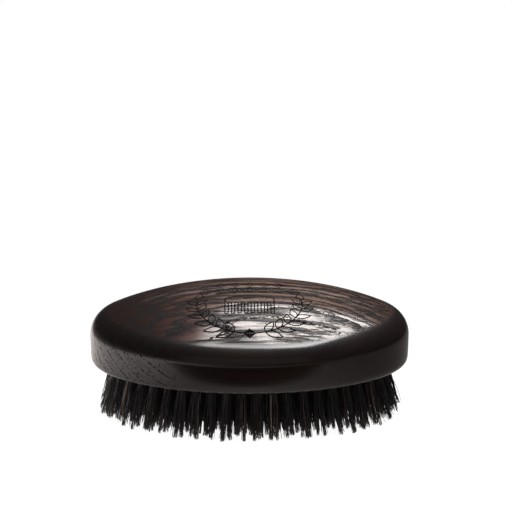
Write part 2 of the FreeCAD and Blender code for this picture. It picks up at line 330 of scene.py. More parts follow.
def rolling_round():
    """Where a ball of the edge round touches both the wall and the crown, at each point round the oval:
    the wall's outward direction, the level of the ball's centre, and the touching point on the crown.
    The centre is the crown point moved inward by the radius; it has to lie one radius inside the wall."""
    rim = around_oval(HALF_LENGTH)
    outward = rim / np.array([HALF_LENGTH, HALF_WIDTH]) ** 2
    outward /= np.linalg.norm(outward, axis=1, keepdims=True)
    inset = np.linspace(0, EDGE_ROUND, 600)
    place = rim[:, None] - inset[None, :, None] * outward[:, None]
    level = crown_height(place[..., 0], place[..., 1])
    length, width, height = CROWN_HALF
    sink = level - (CROWN - height)
    slope = -place * (height / np.array([length, width])) ** 2 / sink[..., None]
    upright = 1 / np.sqrt(1 + np.sum(slope**2, axis=-1, keepdims=True))
    centre = place + EDGE_ROUND * slope * upright
    centre_level = level - EDGE_ROUND * upright[..., 0]
    depth = np.sum((rim[:, None] - centre) * outward[:, None], axis=-1)
    after = np.argmax(depth > EDGE_ROUND, axis=1)
    row = np.arange(len(rim))
    share = (EDGE_ROUND - depth[row, after - 1]) / (depth[row, after] - depth[row, after - 1])
    at = inset[after - 1] + share * (inset[after] - inset[after - 1])
    touch = rim - at[:, None] * outward
    ball = centre_level[row, after - 1] + share * (centre_level[row, after] - centre_level[row, after - 1])
    return outward, ball, np.column_stack([touch, crown_height(touch[:, 0], touch[:, 1])])


def lower_profile():
    """Half section (turned radius, height) of the foot and the barrel wall, two tangent arcs."""
    widest = FACE + WALL_HEIGHT
    foot_x = HALF_LENGTH - WALL_RADIUS
    foot_x += math.sqrt((WALL_RADIUS - FOOT_RADIUS) ** 2 - (WALL_HEIGHT - FOOT_RADIUS) ** 2)
    foot_end = math.atan2(FACE + FOOT_RADIUS - widest, foot_x - (HALF_LENGTH - WALL_RADIUS))
    arcs = (
        (foot_x, FACE + FOOT_RADIUS, FOOT_RADIUS, -math.pi / 2, foot_end, 8),
        (HALF_LENGTH - WALL_RADIUS, widest, WALL_RADIUS, foot_end, 0, 6),
    )
    points = []
    for x, z, radius, start, end, count in arcs:
        angle = np.linspace(start, end, count + 1)[:-1]
        points.append(np.stack([x + radius * np.cos(angle), z + radius * np.sin(angle)], -1))
    return np.concatenate(points)


def block_skin():
    """Foot, wall, rolled edge and outer crown, as rings round the oval from the bristle face to the patch.
    Foot and wall are the profile carried round; the straight wall runs up to the ball's centre; the edge is
    the ball's arc from the wall to its touching point; the outer crown follows the ellipsoid's height."""
    outward, ball, touch = rolling_round()
    rim = around_oval(HALF_LENGTH)
    rings = [np.column_stack([around_oval(r), np.full(AROUND, z)]) for r, z in lower_profile()]
    for share in (0.0, 1 / 3, 2 / 3):
        rings.append(np.column_stack([rim, FACE + WALL_HEIGHT + share * (ball - FACE - WALL_HEIGHT)]))
    middle = rim - EDGE_ROUND * outward
    tilt = np.arccos(np.clip(np.sum((touch[:, :2] - middle) * outward, axis=1) / EDGE_ROUND, -1, 1))
    for share in np.linspace(0, 1, 21)[:-1]:
        arm = EDGE_ROUND * np.cos(tilt * share)
        level = ball + EDGE_ROUND * np.sin(tilt * share)
        rings.append(np.column_stack([middle + arm[:, None] * outward, level]))
    patch_rim = around_oval(PATCH_RADIUS)
    for share in np.linspace(0, 1, 3):
        place = touch[:, :2] * (1 - share) + patch_rim * share
        rings.append(np.column_stack([place, crown_height(place[:, 0], place[:, 1])]))
    return np.concatenate(rings), grid_faces(len(rings), AROUND)


HOLE_SIDES = 18
MOUTH_EASE = 0.22 * MM  # the chamfer round each hole's mouth


def bristle_face(rim, mouths):
    """The flat underside inside rim, with a round opening at each hole mouth. Its triangles face down."""
    angle = 2 * np.pi * np.arange(HOLE_SIDES) / HOLE_SIDES
    circle = (HOLE_RADIUS + MOUTH_EASE) * np.stack([np.cos(angle), np.sin(angle)], -1)
    openings = (mouths[:, None, :] + circle[None]).reshape(-1, 2)
    ring = np.stack([np.arange(HOLE_SIDES), (np.arange(HOLE_SIDES) + 1) % HOLE_SIDES], -1)
    rim_edges = np.stack([np.arange(len(rim)), (np.arange(len(rim)) + 1) % len(rim)], -1)
    hole_starts = len(rim) + HOLE_SIDES * np.arange(len(mouths))[:, None, None]
    edges = np.concatenate([rim_edges, (hole_starts + ring[None]).reshape(-1, 2)])
    placed, triangles = triangulate(np.concatenate([rim, openings]), edges)
    middle = placed[triangles].mean(axis=1)
    nearest = np.min(np.linalg.norm(middle[:, None] - mouths[None], axis=2), axis=1)
    kept = triangles[nearest > (HOLE_RADIUS + MOUTH_EASE) * math.cos(math.pi / HOLE_SIDES) * 0.98]
    return np.column_stack([placed, np.full(len(placed), FACE)]), kept[:, ::-1]


def hole_walls(mouths):
    """Inside of every hole: the eased mouth, the leaning bore and the drill's cone, ring by ring."""
    inward = -tuft_axes(mouths)
    angle = 2 * np.pi * np.arange(HOLE_SIDES) / HOLE_SIDES
    circle = np.stack([np.cos(angle), np.sin(angle), np.zeros(HOLE_SIDES)], -1)
    rings = ((HOLE_RADIUS + MOUTH_EASE, 0), (HOLE_RADIUS, MOUTH_EASE), (HOLE_RADIUS, HOLE_DEPTH))
    base = np.column_stack([mouths, np.full(len(mouths), FACE)])
    up = inward / inward[:, 2:]  # one unit of height along the hole
    points = [base[:, None] + r * circle[None] + depth * up[:, None] for r, depth in rings]
    apex = base + (HOLE_DEPTH + DRILL_POINT) * inward / inward[:, 2:]
    per_hole = len(rings) * HOLE_SIDES + 1
    points = np.concatenate(points + [apex[:, None]], axis=1).reshape(-1, 3)
    wall = grid_faces(len(rings), HOLE_SIDES)
    side = np.arange(HOLE_SIDES)
    last = (len(rings) - 1) * HOLE_SIDES
    cone = np.stack([last + side, last + (side + 1) % HOLE_SIDES, np.full(HOLE_SIDES, per_hole - 1)], -1)
    shift = per_hole * np.arange(len(mouths))[:, None, None]
    return points, (wall[None, :, ::-1] + shift).reshape(-1, 4), (cone[None, :, ::-1] + shift).reshape(-1, 3)


def wooden_block():
    """The whole block as one closed skin: side, engraved crown, drilled face and holes, welded together."""
    mouths = np.concatenate(list(TUFTS.values()))
    skin, skin_quads = block_skin()
    crown, crown_triangles, burn = crown_patch(around_oval(PATCH_RADIUS))
    face, face_triangles = bristle_face(around_oval(lower_profile()[0, 0]), mouths)
    walls, wall_quads, wall_triangles = hole_walls(mouths)
    starts = np.cumsum([0, len(skin), len(crown), len(face)])
    points = np.concatenate([skin, crown, face, walls])
    faces = [
        skin_quads,
        crown_triangles + starts[1],
        face_triangles + starts[2],
        wall_quads + starts[3],
        wall_triangles + starts[3],
    ]
    block = new_mesh("turned_block", points, faces)
    scorch = np.zeros(len(points))
    scorch[starts[1] : starts[2]] = burn
    point_attribute(block, "scorch", scorch)
    weld(block)
    block.data.set_sharp_from_angle(angle=math.radians(32))
    return block


def weld(piece):
    """Merges points that lie on each other."""
    work = bmesh.new()
    work.from_mesh(piece.data)
    bmesh.ops.remove_doubles(work, verts=work.verts, dist=2e-6)
    work.to_mesh(piece.data)
    work.free()


# ---------------------------------------------------------------- bristles

FOLDED_PER_TUFT = 42  # each is one hair folded in half, with two free ends
HAIR_RADIUS = 0.140 * MM
HAIR_SIDES = 4
LEG_POINTS = 6
CLUMPS = 4


def hair_paths(mouths, random):
    """Centre lines of every folded hair of a group of tufts, (hairs, points, 3), their radii, and how far
    each point is towards its tip. A leg runs from the fold above the anchor down its side, out of the mouth
    and along the tuft's axis. It spreads in proportion to its place in the hole, draws in towards its
    clump's tip, and bends a little on the way."""
    tufts = len(mouths)
    axes = tuft_axes(mouths)
    count = FOLDED_PER_TUFT
    base = np.column_stack([mouths, np.full(tufts, FACE)])[:, None, None]
    along = (axes / -axes[:, 2:])[:, None, None]  # one unit of height down the axis

    # places in the hole: each hair has a place along the anchor, and a leg on each side of it
    radius = (HOLE_RADIUS - HAIR_RADIUS * 1.2) * np.sqrt(random.uniform(0.02, 1, (tufts, count)))
    bearing = random.uniform(0.12, np.pi - 0.12, (tufts, count))
    place = np.stack([radius * np.cos(bearing), np.maximum(radius * np.sin(bearing), 0.34 * MM)], -1)
    legs = np.stack([place, place * np.array([1, -1])], axis=2)  # (tufts, hairs, 2 legs, xy)

    # the clumps that a tuft's ends gather into, each with its own tip
    turn = random.uniform(0, 2 * np.pi, (tufts, 1)) + np.arange(CLUMPS) * 2 * np.pi / CLUMPS
    turn = turn + random.normal(0, 0.25, (tufts, CLUMPS))
    reach = random.uniform(1.1, 2.2, (tufts, CLUMPS)) * MM
    clump = np.stack([reach * np.cos(turn), reach * np.sin(turn)], -1)
    clump_rise = random.uniform(0, 1, (tufts, CLUMPS)) ** 2.0 * 2.2 * MM
    angle = np.arctan2(legs[..., 1], legs[..., 0])
    nearest = np.argmin(np.abs(np.angle(np.exp(1j * (angle[..., None] - turn[:, None, None, :])))), axis=-1)
    tuft_index = np.arange(tufts)[:, None, None]
    goal = clump[tuft_index, nearest]
    rise = clump_rise[tuft_index, nearest]

    spread = legs * 1.7
    draw = random.beta(2.0, 1.9, legs.shape[:3])[..., None]
    tip = spread * (1 - draw) + goal * draw
    stray = random.uniform(0, 1, legs.shape[:3]) < 0.06
    tip = tip + stray[..., None] * random.normal(0, 1.5 * MM, legs.shape)
    tip = tip + random.normal(0, 0.22 * MM, legs.shape)
    outward = mouths / np.array([HALF_LENGTH, HALF_WIDTH])
    splay = outward * np.sum(outward**2, axis=1, keepdims=True) * 1.9 * MM
    tip = tip + splay[:, None, None]
    off_goal = np.linalg.norm(tip - goal, axis=-1)
    shorter = rise + 0.75 * off_goal + np.abs(random.normal(0, 0.5 * MM, legs.shape[:3])) - 0.85 * MM
    tip_height = np.clip(shorter + 0.02 * MM, 0.02 * MM, FACE * 0.6)
    bend = random.normal(0, 0.35 * MM, legs.shape) * (1 + 1.5 * stray[..., None])

    # share 0 at the mouth, 1 at the tip; the hair is at its place in the hole above the mouth
    share = np.linspace(0, 1, LEG_POINTS)[None, None, None, :, None]
    drop = (FACE - tip_height)[..., None, None] * share
    sideways = legs[..., None, :] * (1 - share**1.9) + tip[..., None, :] * share**1.9
    sideways = sideways + bend[..., None, :] * np.sin(np.pi * share)
    free = base[..., None, :] + along[..., None, :] * drop
    free[..., :2] += sideways

    # inside the hole: up beside the anchor, then over it in a fold of three points
    top = (ANCHOR_TOP + 0.25 * MM) + 0.5 * MM * (radius / HOLE_RADIUS)
    fold_height = np.stack([0.45 * top, top], axis=-1)[:, :, None, :, None]
    inner = base[..., None, :] - along[..., None, :] * fold_height
    inner = np.repeat(inner, 2, axis=2)
    inner[..., :2] += legs[..., None, :] * np.array([1.0, 0.9])[None, None, None, :, None]
    crest = base[:, :, 0] - along[:, :, 0] * (top + 0.32 * MM)[..., None]
    crest[..., 0] += place[..., 0]

    # each leg in the order: fold, beside the anchor, then mouth to tip; the first leg is turned round
    first = np.concatenate([inner[:, :, 0], free[:, :, 0]], axis=2)
    first = np.concatenate([first[:, :, 1:2], first[:, :, 0:1], first[:, :, 2:]], axis=2)
    second = np.concatenate([inner[:, :, 1], free[:, :, 1]], axis=2)
    second = np.concatenate([second[:, :, 1:2], second[:, :, 0:1], second[:, :, 2:]], axis=2)
    path = np.concatenate([first[:, :, ::-1], crest[:, :, None], second], axis=2)
    path = path.reshape(tufts * count, -1, 3)
    hairs = len(path)

    leg_taper = np.interp(np.linspace(0, 1, LEG_POINTS), [0, 0.6, 1], [1, 0.94, 0.50])
    leg_taper = np.concatenate([[1.0, 1.0], leg_taper])
    taper = np.concatenate([leg_taper[::-1], [1.0], leg_taper])
    thickness = HAIR_RADIUS * random.uniform(0.72, 1.15, hairs)[:, None] * taper[None]
    leg_along = np.concatenate([[0.0, 0.0], np.linspace(0, 1, LEG_POINTS)])
    tipward = np.concatenate([leg_along[::-1], [0.0], leg_along])
    return path, thickness, tipward


def hair_tubes(name, paths, thickness, tipward, random):
    """A closed four-sided tube along each path: rings across its direction, and a point at both ends."""
    hairs, points = paths.shape[:2]
    heading = np.gradient(paths, axis=1)
    heading /= np.linalg.norm(heading, axis=2, keepdims=True)
    # a side direction that no part of a folded hair is parallel to: along the anchor
    reference = np.array([1.0, 0.0, 0.0])
    side = reference - heading * heading[..., :1]
    side /= np.linalg.norm(side, axis=2, keepdims=True)
    other = np.cross(heading, side)
    turn = 2 * np.pi * np.arange(HAIR_SIDES) / HAIR_SIDES + random.uniform(0, 2 * np.pi, (hairs, 1, 1))
    ring = np.cos(turn)[..., None] * side[:, :, None] + np.sin(turn)[..., None] * other[:, :, None]
    tube = paths[:, :, None] + thickness[..., None, None] * ring
    tube = tube.reshape(hairs, -1, 3)
    first_tip = paths[:, 0] - heading[:, 0] * HAIR_RADIUS
    last_tip = paths[:, -1] + heading[:, -1] * HAIR_RADIUS
    tips = np.stack([first_tip, last_tip], axis=1)
    tips[..., 2] = np.maximum(tips[..., 2], 0.005 * MM)
    every = np.concatenate([tube, tips], axis=1)
    every[..., 2] = np.maximum(every[..., 2], 0.002 * MM)
    per_hair = points * HAIR_SIDES + 2
    quads = grid_faces(points, HAIR_SIDES)
    side_index = np.arange(HAIR_SIDES)
    after = (side_index + 1) % HAIR_SIDES
    last = (points - 1) * HAIR_SIDES
    start_cap = np.stack([after, side_index, np.full(HAIR_SIDES, per_hair - 2)], -1)
    end_cap = np.stack([last + side_index, last + after, np.full(HAIR_SIDES, per_hair - 1)], -1)
    shift = per_hair * np.arange(hairs)[:, None, None]
    faces = [
        (quads[None] + shift).reshape(-1, 4),
        (np.concatenate([start_cap, end_cap])[None] + shift).reshape(-1, 3),
    ]
    piece = new_mesh(name, every.reshape(-1, 3), faces)
    tone = np.repeat(random.uniform(0, 1, hairs), per_hair)
    point_attribute(piece, "hair_tone", tone)
    toward_tip = np.concatenate([np.repeat(tipward, HAIR_SIDES), [1.0, 1.0]])
    point_attribute(piece, "toward_tip", np.tile(toward_tip, hairs))
    return piece


def bristle_group(group, mouths, number):
    """The tufts of one ring half or row as one piece, with its own random stream."""
    random = np.random.default_rng(SEED + number)
    paths, thickness, tipward = hair_paths(mouths, random)
    return hair_tubes(f"bristles_{group}", paths, thickness, tipward, random)


# ---------------------------------------------------------------- materials


def add(tree, kind, inputs=None, **settings):
    """A node with its settings, and its inputs linked to sockets or set to values."""
    node = tree.nodes.new(kind)
    for name, value in settings.items():
        setattr(node, name, value)
    for name, value in (inputs or {}).items():
        if isinstance(value, bpy.types.NodeSocket):
            tree.links.new(value, node.inputs[name])
        else:
            node.inputs[name].default_value = value
    return node


def maths(tree, operation, a, b=0.0, c=0.0, clamp=False):
    """The result of a Math node."""
    return add(tree, "ShaderNodeMath", {0: a, 1: b, 2: c}, operation=operation, use_clamp=clamp).outputs[0]


def ramp(tree, value, low, high, to_low=0.0, to_high=1.0):
    """A value moved smoothly from one range to another, and held at its ends."""
    node = add(
        tree,
        "ShaderNodeMapRange",
        {"Value": value, "From Min": low, "From Max": high, "To Min": to_low, "To Max": to_high},
        interpolation_type="SMOOTHSTEP",
    )
    return node.outputs[0]


def blend_colour(tree, share, a, b, kind="MIX"):
    """One colour laid over another by a share."""
    node = add(tree, "ShaderNodeMix", {0: share, 6: a, 7: b}, data_type="RGBA", blend_type=kind)
    return node.outputs[2]


def noise(tree, vector, scale, detail=2.0, roughness=0.5):
    """Plain 3D noise, 0 to 1."""
    inputs = {"Vector": vector, "Scale": scale, "Detail": detail, "Roughness": roughness}
    return add(tree, "ShaderNodeTexNoise", inputs).outputs[0]


def stretched(tree, vector, scale, turn=(0.0, 0.0, 0.0)):
    """Coordinates turned and scaled by a Mapping node."""
    return add(tree, "ShaderNodeMapping", {"Vector": vector, "Scale": scale, "Rotation": turn}).outputs[0]


def new_group(name, sockets):
    """An empty shader node group with its sockets, and its input and output nodes."""
    group = bpy.data.node_groups.new(name, "ShaderNodeTree")
    for label, direction, kind, default in sockets:
        socket = group.interface.new_socket(label, in_out=direction, socket_type=kind)
        if default is not None:
            socket.default_value = default
    return group, group.nodes.new("NodeGroupInput"), group.nodes.new("NodeGroupOutput")


def wood_figure_group():
    """Figure of ring-porous wood sawn along X. The growth rings are planes along X whose normal leans from Y;
    each ring is a smooth pale band that ends in a dark, porous one. Rings wander slowly and unevenly."""
    group, start, end = new_group(
        "wood_figure",
        (
            ("Vector", "INPUT", "NodeSocketVector", None),
            ("Ring Pitch", "INPUT", "NodeSocketFloat", 0.002),
            ("Wander", "INPUT", "NodeSocketFloat", 1.0),
            ("Rings", "OUTPUT", "NodeSocketFloat", None),
            ("Fibres", "OUTPUT", "NodeSocketFloat", None),
            ("Pores", "OUTPUT", "NodeSocketFloat", None),
            ("Streaks", "OUTPUT", "NodeSocketFloat", None),
        ),
    )
    place = start.outputs["Vector"]
    planes = stretched(group, place, (1, 1, 1), (math.radians(38), 0, math.radians(-2.0)))
    split = add(group, "ShaderNodeSeparateXYZ", {0: planes})
    slow = noise(group, stretched(group, place, (11, 48, 48)), 1.0, 2.0, 0.5)
    quick = noise(group, stretched(group, place, (28, 380, 380)), 1.0, 3.0, 0.62)
    wander = maths(group, "MULTIPLY", maths(group, "SUBTRACT", slow, 0.5), start.outputs["Wander"])
    level = maths(group, "DIVIDE", split.outputs[1], start.outputs["Ring Pitch"])
    level = maths(group, "ADD", level, maths(group, "MULTIPLY", wander, 6.5))
    level = maths(group, "ADD", level, maths(group, "MULTIPLY", quick, 1.15))
    wave = maths(group, "FRACT", level)
    rings = maths(group, "MULTIPLY", ramp(group, wave, 0.25, 0.80), ramp(group, wave, 1.0, 0.93))
    fibre = noise(group, stretched(group, place, (70, 1700, 1700)), 1.0, 3.0, 0.65)
    streak = noise(group, stretched(group, place, (20, 620, 620)), 1.0, 3.0, 0.6)
    grain = noise(group, stretched(group, place, (230, 3000, 3000)), 1.0, 1.0, 0.5)
    open_grain = maths(group, "MULTIPLY", ramp(group, grain, 0.56, 0.66), ramp(group, rings, 0.2, 0.8))
    smooth = maths(group, "DIVIDE", split.outputs[1], start.outputs["Ring Pitch"])
    smooth = maths(group, "FRACT", maths(group, "ADD", smooth, maths(group, "MULTIPLY", wander, 3.0)))
    ring_line = maths(group, "MULTIPLY", ramp(group, smooth, 0.80, 0.88), ramp(group, smooth, 1.0, 0.92))
    dots = ramp(group, noise(group, stretched(group, place, (900, 1900, 1900)), 1.0, 1.0, 0.5), 0.45, 0.52)
    pores = maths(group, "MAXIMUM", open_grain, maths(group, "MULTIPLY", ring_line, dots))
    group.links.new(rings, end.inputs["Rings"])
    group.links.new(fibre, end.inputs["Fibres"])
    group.links.new(pores, end.inputs["Pores"])
    group.links.new(ramp(group, streak, 0.45, 0.58), end.inputs["Streaks"])
    return group


def finish_wear_group():
    """Handling: broad smudges in a finish's gloss, and a fine speckle."""
    group, start, end = new_group(
        "finish_wear",
        (
            ("Vector", "INPUT", "NodeSocketVector", None),
            ("Speckle Size", "INPUT", "NodeSocketFloat", 0.0005),
            ("Smudge", "OUTPUT", "NodeSocketFloat", None),
            ("Speckle", "OUTPUT", "NodeSocketFloat", None),
        ),
    )
    place = start.outputs["Vector"]
    group.links.new(noise(group, place, 55.0, 3.0, 0.6), end.inputs["Smudge"])
    speckle = noise(group, place, maths(group, "DIVIDE", 1.0, start.outputs["Speckle Size"]), 2.0, 0.7)
    group.links.new(speckle, end.inputs["Speckle"])
    return group


def use_group(tree, group, **inputs):
    """A node that places a group in a material."""
    node = add(tree, "ShaderNodeGroup", node_tree=group)
    for name, value in inputs.items():
        label = name.replace("_", " ")
        if isinstance(value, bpy.types.NodeSocket):
            tree.links.new(value, node.inputs[label])
        else:
            node.inputs[label].default_value = value
    return node


def new_material(name):
    """A material with an empty tree but for its Principled shader and output."""
    material = bpy.data.materials.new(name)
    material.use_nodes = True
    tree = material.node_tree
    tree.nodes.clear()
    shader = tree.nodes.new("ShaderNodeBsdfPrincipled")
    output = tree.nodes.new("ShaderNodeOutputMaterial")
    tree.links.new(shader.outputs[0], output.inputs[0])
    return material, tree, shader


def object_place(tree):
    """Object coordinates."""
    return add(tree, "ShaderNodeTexCoord").outputs["Object"]


def bump(tree, height, strength, distance):
    """Normals tilted by a height."""
    inputs = {"Height": height, "Strength": strength, "Distance": distance}
    return add(tree, "ShaderNodeBump", inputs).outputs[0]


WOOD_DARK = (0.0040, 0.0030, 0.0030, 1)
WOOD_BROWN = (0.074, 0.043, 0.031, 1)
WOOD_RED = (0.070, 0.025, 0.017, 1)
# painted shade: the colour the crown darkens to towards both ends
WOOD_END_SHADE = (0.0080, 0.0034, 0.0026, 1)
# the rolled edge, then the side below it: a darker stain, partly painted shade
SHOULDER_STAIN_AND_SHADE = (0.0040, 0.0028, 0.0031, 1)
SIDE_STAIN_AND_SHADE = (0.0034, 0.0016, 0.0010, 1)
SCORCHED = (0.0018, 0.0014, 0.0013, 1)


def hardwood(figure, wear):
    """Dark stained hardwood under a satin lacquer, redder to the left and scorched black in the engraving.
    The crown is darker towards both ends, which is painted shade where the highlight falls off. The rolled
    edge and the side are darker too, partly a darker stain and partly painted shade."""
    material, tree, shader = new_material("stained_hardwood")
    place = object_place(tree)
    split = add(tree, "ShaderNodeSeparateXYZ", {0: place})
    grain = use_group(tree, figure, Vector=place, Ring_Pitch=0.0026, Wander=1.0)
    handling = use_group(tree, wear, Vector=place, Speckle_Size=0.00042)
    scorch = add(tree, "ShaderNodeAttribute", attribute_name="scorch").outputs["Fac"]
    rings, fibres, pores, streaks = (grain.outputs[k] for k in ("Rings", "Fibres", "Pores", "Streaks"))
    speckle, smudge = handling.outputs["Speckle"], handling.outputs["Smudge"]

    # 0 on the open crown, 1 from the rolled edge down, by the turned radius
    across = maths(tree, "DIVIDE", split.outputs[1], OVAL)
    out_x = maths(tree, "MULTIPLY", split.outputs[0], split.outputs[0])
    out = maths(tree, "SQRT", maths(tree, "ADD", out_x, maths(tree, "MULTIPLY", across, across)))
    edge = ramp(tree, out, 0.0482, 0.0507)

    patches = noise(tree, stretched(tree, place, (16, 60, 60)), 1.0, 2.0)
    leftward = ramp(tree, split.outputs[0], 0.012, -0.040, -0.12, 0.16)
    redness = ramp(tree, maths(tree, "ADD", patches, leftward), 0.42, 0.66)
    light = blend_colour(tree, redness, WOOD_BROWN, WOOD_RED)
    # painted shade: darker towards the left end, where the highlight falls off; the coat is cut back there
    # too
    left_end_shade = ramp(tree, split.outputs[0], 0.004, -0.038, 0.0, 0.96)
    light = blend_colour(tree, left_end_shade, light, WOOD_END_SHADE)
    # painted shade: darker towards the right end as well
    right_end_shade = ramp(tree, split.outputs[0], 0.024, 0.050, 0.0, 0.60)
    light = blend_colour(tree, right_end_shade, light, WOOD_END_SHADE)
    # darker on the rolled edge and down the side: partly a darker stain, partly painted shade
    down = ramp(tree, split.outputs[2], FACE + 0.0135, FACE + 0.0080)
    stained = blend_colour(tree, down, SHOULDER_STAIN_AND_SHADE, SIDE_STAIN_AND_SHADE)
    light = blend_colour(tree, maths(tree, "MULTIPLY", edge, 0.92), light, stained)
    vein = maths(tree, "MULTIPLY", rings, 0.95)
    vein = maths(tree, "MAXIMUM", vein, maths(tree, "MULTIPLY", streaks, 0.93))
    strand = maths(tree, "MULTIPLY", maths(tree, "SUBTRACT", fibres, 0.5), 0.9)
    vein = maths(tree, "ADD", vein, strand, clamp=True)
    vein = maths(tree, "MULTIPLY", vein, maths(tree, "SUBTRACT", 1.0, maths(tree, "MULTIPLY", edge, 0.55)))
    colour = blend_colour(tree, vein, light, WOOD_DARK)
    colour = blend_colour(tree, maths(tree, "MULTIPLY", pores, 0.95), colour, WOOD_DARK)
    colour = blend_colour(tree, scorch, colour, SCORCHED)

    # on the side, the porous rings come to the surface towards the left end only
    hidden = maths(tree, "MULTIPLY", edge, ramp(tree, split.outputs[0], -0.034, -0.016))
    pores = maths(tree, "MULTIPLY", pores, maths(tree, "SUBTRACT", 1.0, hidden))

    # the porous bands hold less polish than the smooth ones
    rough = maths(tree, "ADD", 0.30, maths(tree, "MULTIPLY", vein, 0.16))
    rough = maths(tree, "ADD", rough, maths(tree, "MULTIPLY", speckle, 0.10))
    rough = maths(tree, "ADD", rough, maths(tree, "MULTIPLY", pores, 0.25))
    rough = maths(tree, "ADD", rough, maths(tree, "MULTIPLY", smudge, 0.05))
    rough = maths(tree, "ADD", rough, maths(tree, "MULTIPLY", scorch, 0.35))
    gloss = maths(tree, "SUBTRACT", 1.0, maths(tree, "MULTIPLY", vein, 0.96))
    gloss = maths(tree, "MULTIPLY", gloss, maths(tree, "SUBTRACT", 1.0, maths(tree, "MULTIPLY", left_end_shade, 0.75)))
    gloss = maths(tree, "MULTIPLY", gloss, ramp(tree, speckle, 0.36, 0.52, 0.55, 1.0))
    gloss = maths(tree, "MAXIMUM", gloss, maths(tree, "MULTIPLY", edge, 0.85))
    gloss = maths(tree, "SUBTRACT", gloss, maths(tree, "MULTIPLY", pores, 0.95))
    gloss = maths(tree, "MULTIPLY", gloss, maths(tree, "SUBTRACT", 1.0, scorch), clamp=True)

    crown_share = maths(tree, "SUBTRACT", 1.0, maths(tree, "MULTIPLY", edge, 0.75))
    height = maths(tree, "MULTIPLY", speckle, 0.5)
    height = maths(tree, "ADD", height, maths(tree, "MULTIPLY", fibres, 0.7))
    height = maths(tree, "SUBTRACT", height, maths(tree, "MULTIPLY", vein, 0.4))
    height = maths(tree, "SUBTRACT", height, maths(tree, "MULTIPLY", pores, 0.9))
    normal = bump(tree, maths(tree, "MULTIPLY", height, crown_share), 0.6, 0.00007)
    linked = {"Base Color": colour, "Roughness": rough, "Coat Weight": gloss, "Normal": normal}
    for name, value in linked.items():
        tree.links.new(value, shader.inputs[name])
    shader.inputs["IOR"].default_value = 1.5
    shader.inputs["Specular IOR Level"].default_value = 0.06
    shader.inputs["Coat Roughness"].default_value = 0.15
    shader.inputs["Coat IOR"].default_value = 1.5
    return material


def boar_bristle(wear):
    """Boar bristle: mostly black, here and there a brown, golden or grey hair, paler towards the tips in
    painted light, as if light showed through the thin ends.
    """
    material, tree, shader = new_material("boar_bristle")
    tone = add(tree, "ShaderNodeAttribute", attribute_name="hair_tone").outputs["Fac"]
    tipward = add(tree, "ShaderNodeAttribute", attribute_name="toward_tip").outputs["Fac"]
    scale = add(tree, "ShaderNodeValToRGB", {"Fac": tone})
    stops = (
        (0.0, (0.0018, 0.0020, 0.0024, 1)),
        (0.80, (0.0060, 0.0055, 0.0055, 1)),
        (0.90, (0.028, 0.020, 0.016, 1)),
        (0.950, (0.085, 0.040, 0.026, 1)),
        (0.975, (0.20, 0.125, 0.070, 1)),
        (0.990, (0.36, 0.33, 0.29, 1)),
    )
    elements = scale.color_ramp.elements
    scale.color_ramp.interpolation = "CONSTANT"
    elements[0].position, elements[0].color = stops[0]
    elements[1].position, elements[1].color = stops[1]
    for position, colour in stops[2:]:
        elements.new(position).color = colour
    handling = use_group(tree, wear, Vector=object_place(tree), Speckle_Size=0.0012)
    # painted light: paler towards the tips, as if light showed through the thin ends
    pale = maths(tree, "MULTIPLY", ramp(tree, tipward, 0.72, 1.0), 0.10)
    colour = blend_colour(tree, pale, scale.outputs[0], (0.10, 0.09, 0.075, 1))
    rough = maths(tree, "ADD", 0.28, maths(tree, "MULTIPLY", handling.outputs["Speckle"], 0.22))
    tree.links.new(colour, shader.inputs["Base Color"])
    tree.links.new(rough, shader.inputs["Roughness"])
    shader.inputs["IOR"].default_value = 1.55
    return material


def anchor_brass(wear):
    """Drawn brass wire, slightly tarnished."""
    material, tree, shader = new_material("anchor_brass")
    handling = use_group(tree, wear, Vector=object_place(tree), Speckle_Size=0.0004)
    tarnish = ramp(tree, handling.outputs["Speckle"], 0.45, 0.75)
    colour = blend_colour(tree, tarnish, (0.72, 0.52, 0.24, 1), (0.36, 0.22, 0.09, 1))
    tree.links.new(colour, shader.inputs["Base Color"])
    rough = maths(tree, "ADD", 0.28, maths(tree, "MULTIPLY", tarnish, 0.3))
    tree.links.new(rough, shader.inputs["Roughness"])
    shader.inputs["Metallic"].default_value = 1.0
    return material


def give(piece, material):
    """Puts one material on a piece in place of what it had."""
    piece.data.materials.clear()
    piece.data.materials.append(material)


# ---------------------------------------------------------------- the brush

figure_group = wood_figure_group()
wear_group = finish_wear_group()
wood_material = hardwood(figure_group, wear_group)
bristle_material = boar_bristle(wear_group)
brass_material = anchor_brass(wear_group)

block = wooden_block()
give(block, wood_material)
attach(block, "root")
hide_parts("wooden_block")

for number, (group, mouths) in enumerate(TUFTS.items()):
    bristles = bristle_group(group, mouths, number)
    give(bristles, bristle_material)
    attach(bristles, "root")
    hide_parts(f"tufts_{group}")
    give(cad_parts[f"anchors_{group}"], brass_material)

# ---------------------------------------------------------------- floor, light and camera


# painted light: the colour of the floor's glow to everything but the camera
FLOOR_GLOW = (0.61, 0.552, 0.538)
CARD_MIDDLE = (-0.006, -0.116)  # a black oval card lies here in front of the brush, for the reflections only
CARD_HALF = (0.088, 0.0385)


